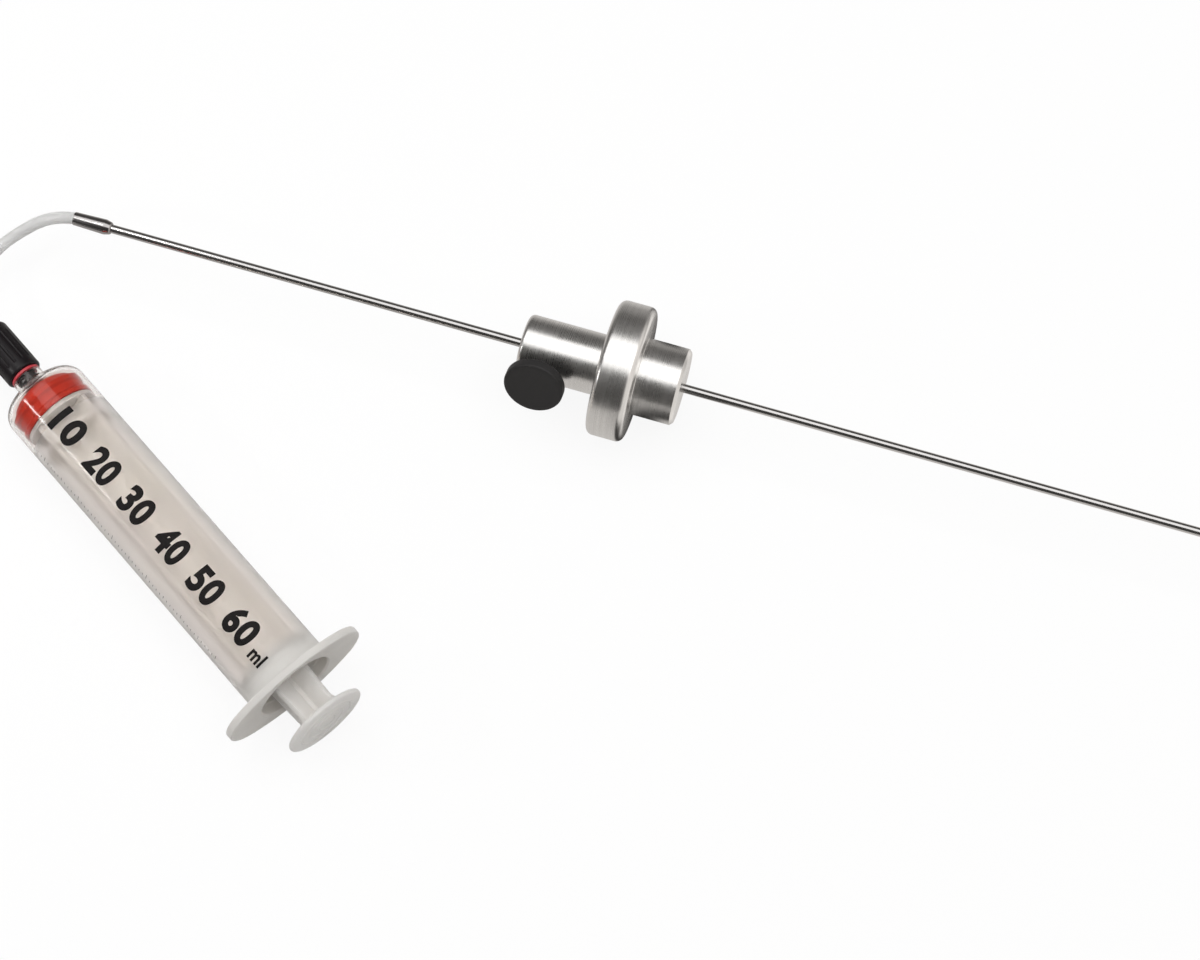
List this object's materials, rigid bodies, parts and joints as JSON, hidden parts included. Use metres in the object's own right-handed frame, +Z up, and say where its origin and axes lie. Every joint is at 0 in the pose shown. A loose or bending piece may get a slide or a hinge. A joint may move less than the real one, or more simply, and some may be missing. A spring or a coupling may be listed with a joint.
{
  "type": "fork oil level tool",
  "caption": "Hand syringe on a short hose with a long thin suction tube and a clamped stop collar, for setting the oil level in a fork leg.",
  "frame": {"origin": "on the suction tube's axis, in the stop face of the collar, where its nose begins", "axes": "+X along the suction tube to its tip, +Z up as the tool lies on a bench; the collar's flange and the syringe touch the bench 23 mm below the origin"},
  "size_m": [0.49, 0.1762, 0.046],
  "materials": {
    "tube_steel": "drawn stainless steel, polished",
    "ferrule_steel": "swaged stainless steel, polished",
    "clear_hose": "translucent soft plastic",
    "black_plastic": "moulded, satin gloss",
    "red_seal": "smooth rubber",
    "clear_barrel": "translucent polypropylene, moulded, with a printed scale",
    "milky_plastic": "translucent polypropylene, moulded",
    "piston_rubber": "smooth moulded rubber",
    "turned_aluminium": "turned and satin polished",
    "screw_steel": "zinc plated",
    "soft_tip": "natural nylon",
    "knob_plastic": "moulded, fine matte"
  },
  "bodies": {
    "tool": {"suction_tube": "tube_steel", "crimp_ferrule": "ferrule_steel", "hose": "clear_hose", "hose_connector": "black_plastic", "connector_seal": "red_seal", "syringe_barrel": "clear_barrel"},
    "collar": {"stop_collar": "turned_aluminium"},
    "screw_tip": {"clamp_tip": "soft_tip"},
    "screw": {"clamp_stud": "screw_steel", "clamp_knob": "knob_plastic"},
    "plunger": {"plunger_rod": "milky_plastic", "piston_seal": "piston_rubber"}
  },
  "joints": [
    {"name": "collar_slide", "type": "slide", "parent": "tool", "child": "collar", "axis": [1, 0, 0], "range_m": [-0.14, 0.24]},
    {"name": "screw_feed", "type": "slide", "parent": "collar", "child": "screw_tip", "axis": [0, -0.8988, 0.4384], "range_m": [0, 0.0032]},
    {"name": "screw_turn", "type": "hinge", "parent": "screw_tip", "child": "screw", "pos_m": [-0.0316, 0, 0], "axis": [0, -0.8988, 0.4384], "range_deg": [0, 1440]},
    {"name": "plunger_slide", "type": "slide", "parent": "tool", "child": "plunger", "axis": [0.848, -0.5299, 0.0106], "range_m": [0, 0.11]}
  ],
  "couplings": [
    {"joint": "screw_feed", "follows": "screw_turn", "m_per_rad": 0.00012732}
  ]
}
